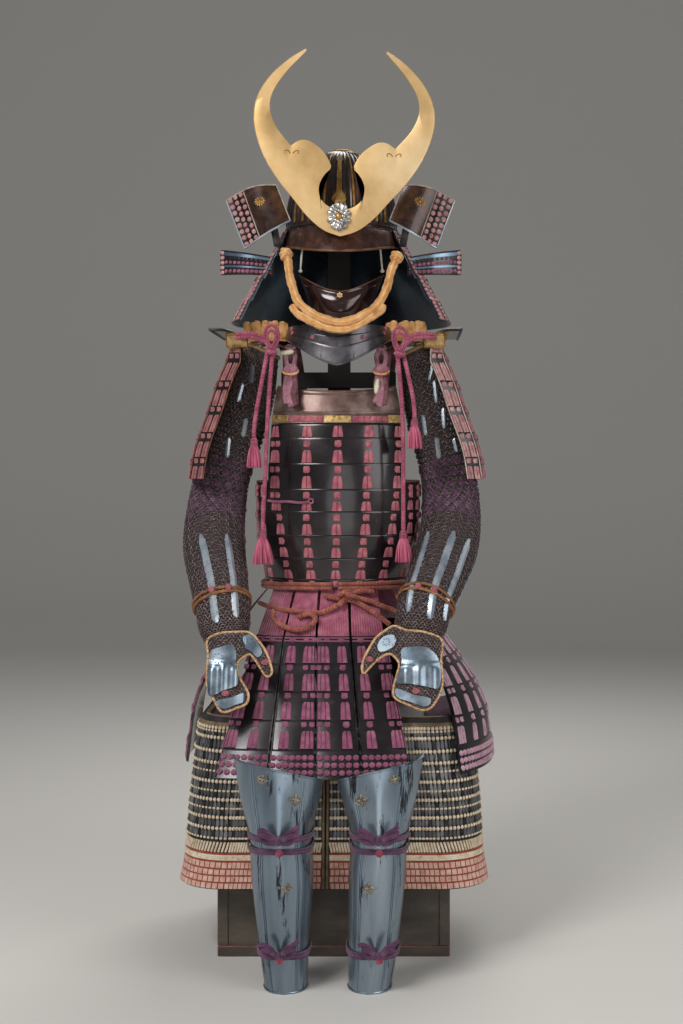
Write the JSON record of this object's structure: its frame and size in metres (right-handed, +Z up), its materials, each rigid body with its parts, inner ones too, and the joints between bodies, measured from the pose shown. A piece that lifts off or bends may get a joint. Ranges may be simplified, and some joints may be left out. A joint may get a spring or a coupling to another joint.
{
  "type": "samurai armour on an armour box",
  "caption": "Full laced samurai armour with a horned helmet crest, mask, sleeves, thigh and shin guards, set up empty on its lacquered box.",
  "frame": {"origin": "the middle of the armour box's underside, on the surface that the box and the shin guards stand on", "axes": "+Z up; -Y the armour's front; +X the viewer's right, which is the wearer's left"},
  "size_m": [0.5927, 0.686, 1.6785],
  "materials": {
    "box_wood": "worn dark lacquer",
    "stand_wood": "dark stain",
    "russet": "satin russet lacquer",
    "lacquer": "dark lacquer with a grey sheen",
    "steel": "blued, worn dark in patches",
    "gilt": "pale gilt, slightly tarnished",
    "silver": "silvered",
    "mail": "dark mail on cloth",
    "strap": "leather-edged padding",
    "silk_cord": "braided",
    "waist_cord": "braided",
    "chin_cord": "padded cloth cord",
    "tie": "soft woven ribbon",
    "splint_cloth": "cloth with laced splints"
  },
  "bodies": {
    "root": {"armour_box": "box_wood", "box_lid": "box_wood", "armour_stand": "stand_wood", "helmet_bowl": "russet", "helmet_visor": "russet", "neck_lame_1": "steel", "neck_lame_2": "steel", "neck_lame_3": "steel", "neck_lame_4": "steel", "turnback_left": "russet", "turnback_right": "russet", "crest_plate": "gilt", "crest_boss": "silver", "helmet_cord": "chin_cord", "half_mask": "russet", "throat_guard": "lacquer", "cuirass_front": "lacquer", "cuirass_right": "lacquer", "cuirass_back": "lacquer", "cuirass_left": "lacquer", "breast_plate": "russet", "shoulder_strap_left": "strap", "shoulder_strap_right": "strap", "shoulder_guard_left": "lacquer", "shoulder_guard_right": "lacquer", "sleeve_left_outer": "mail", "sleeve_left_inner": "mail", "sleeve_right_outer": "mail", "sleeve_right_inner": "mail", "wrist_cord_left": "waist_cord", "wrist_cord_right": "waist_cord", "hand_guard_left": "steel", "hand_guard_right": "steel", "thigh_guard_left": "splint_cloth", "thigh_guard_right": "splint_cloth", "waist_cord": "waist_cord", "skirt_front_1": "lacquer", "skirt_front_2": "lacquer", "skirt_front_3": "lacquer", "skirt_front_4": "lacquer", "skirt_right": "lacquer", "skirt_left": "lacquer", "skirt_back_1": "lacquer", "skirt_back_2": "lacquer", "shin_guard_left": "steel", "shin_guard_right": "steel", "shin_tie_left_upper": "tie", "shin_tie_left_lower": "tie", "shin_tie_right_upper": "tie", "shin_tie_right_lower": "tie", "shoulder_knot_left": "silk_cord", "shoulder_knot_right": "silk_cord", "hanging_cord_left_long": "silk_cord", "hanging_cord_left_short": "silk_cord", "hanging_cord_right_long": "silk_cord", "hanging_cord_right_short": "silk_cord", "tassel_left_long": "silk_cord", "tassel_left_short": "silk_cord", "tassel_right_long": "silk_cord", "tassel_right_short": "silk_cord"}
  },
  "joints": []
}
